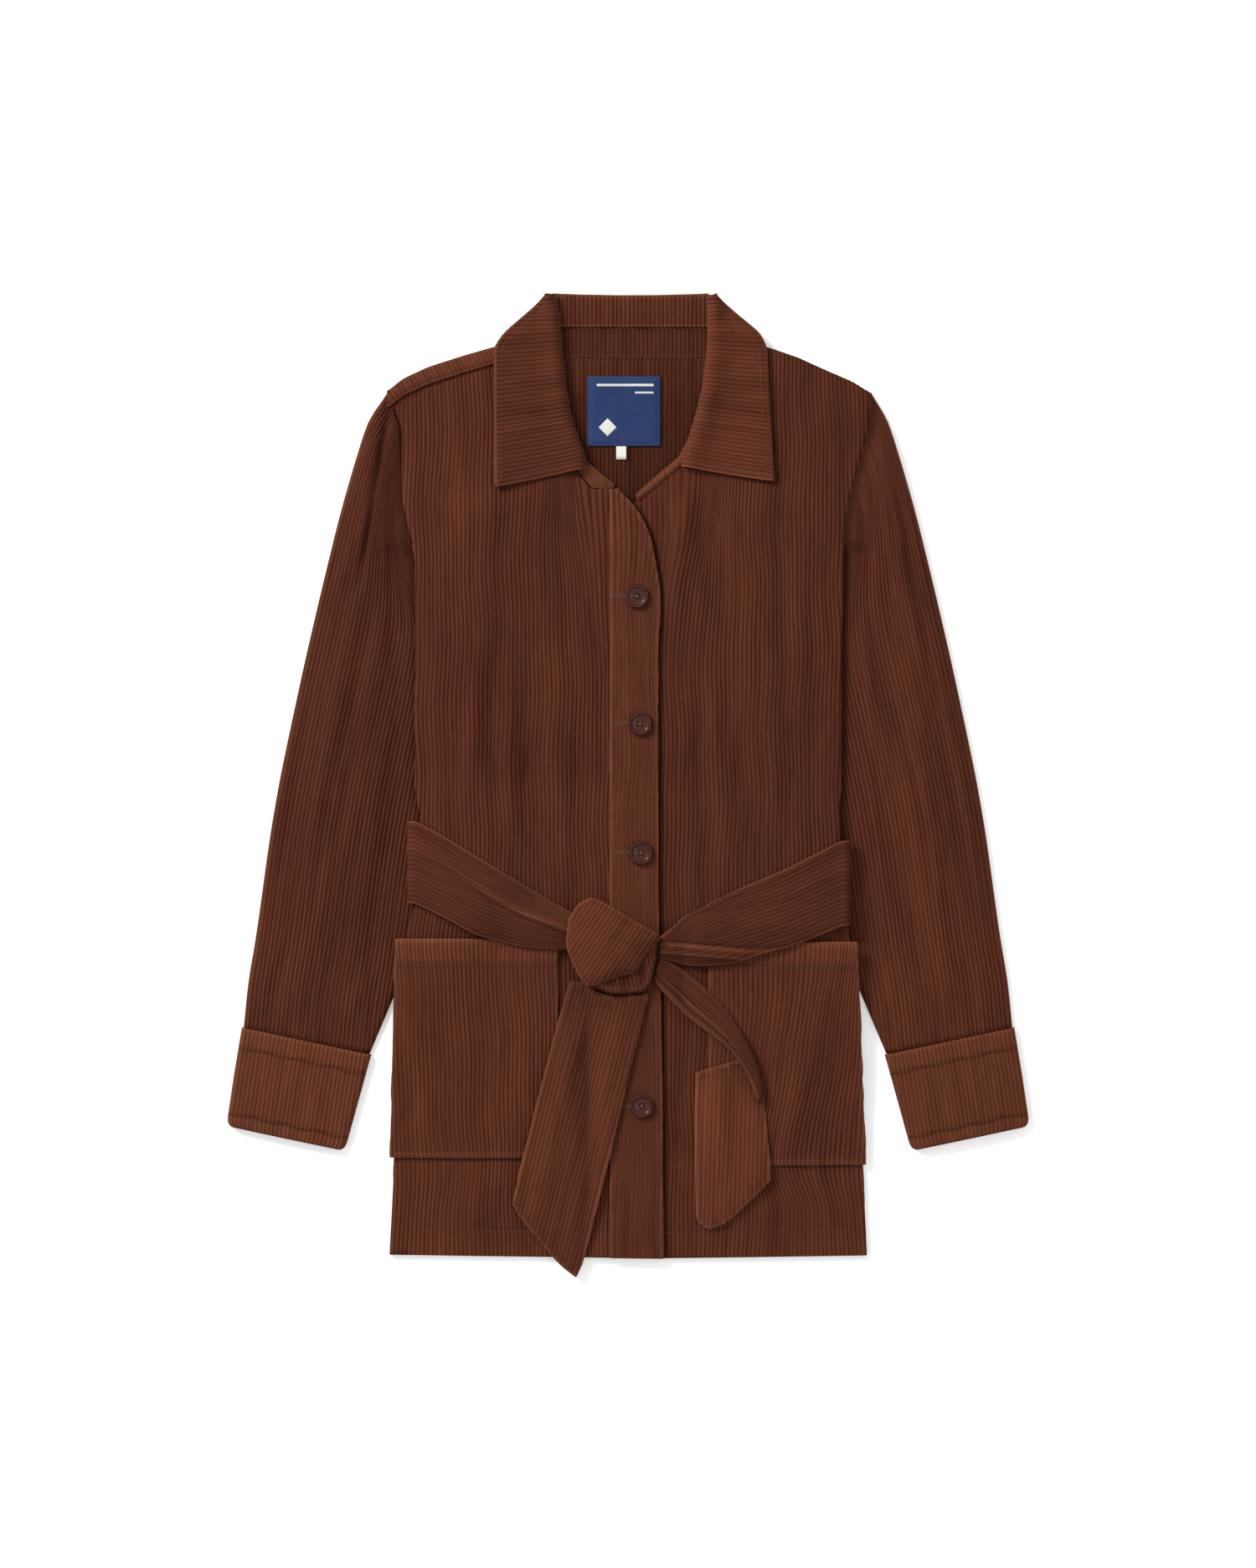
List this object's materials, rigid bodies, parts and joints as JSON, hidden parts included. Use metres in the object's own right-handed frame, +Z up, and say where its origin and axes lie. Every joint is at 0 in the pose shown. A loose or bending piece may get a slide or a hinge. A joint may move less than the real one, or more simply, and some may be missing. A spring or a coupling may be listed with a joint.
{
  "type": "corduroy jacket",
  "caption": "Belted wide-wale corduroy jacket laid flat on its back: open collar, buttoned front band, patch pockets, cuffed sleeves, belt knotted in front",
  "frame": {"origin": "middle of the footprint, on the surface the jacket lies on", "axes": "+X across the jacket toward the sleeve on the wearer's left, +Y from hem to collar, +Z up from the surface"},
  "size_m": [0.6724, 0.8225, 0.0279],
  "materials": {
    "corduroy": "wide-wale cotton corduroy, soft and matt",
    "label": "woven satin label",
    "tab": "woven tape",
    "button": "polished dark brown resin"
  },
  "bodies": {
    "root": {"back": "corduroy", "belt_back": "corduroy", "belt_front_l": "corduroy", "belt_front_r": "corduroy", "belt_knot": "corduroy", "belt_tail_l": "corduroy", "belt_tail_r": "corduroy", "belt_tail_turn": "corduroy", "collar_back": "corduroy", "collar_leaf_l": "corduroy", "collar_leaf_r": "corduroy", "collar_stand_back": "corduroy", "collar_stand_l": "corduroy", "collar_stand_r": "corduroy", "cuff_l": "corduroy", "cuff_r": "corduroy", "front_band": "corduroy", "front_l": "corduroy", "front_r": "corduroy", "pocket_l": "corduroy", "pocket_r": "corduroy", "sleeve_l": "corduroy", "sleeve_r": "corduroy", "neck_label": "label", "size_tab": "tab", "button_1": "button", "button_2": "button", "button_3": "button", "button_4": "button"}
  },
  "joints": []
}
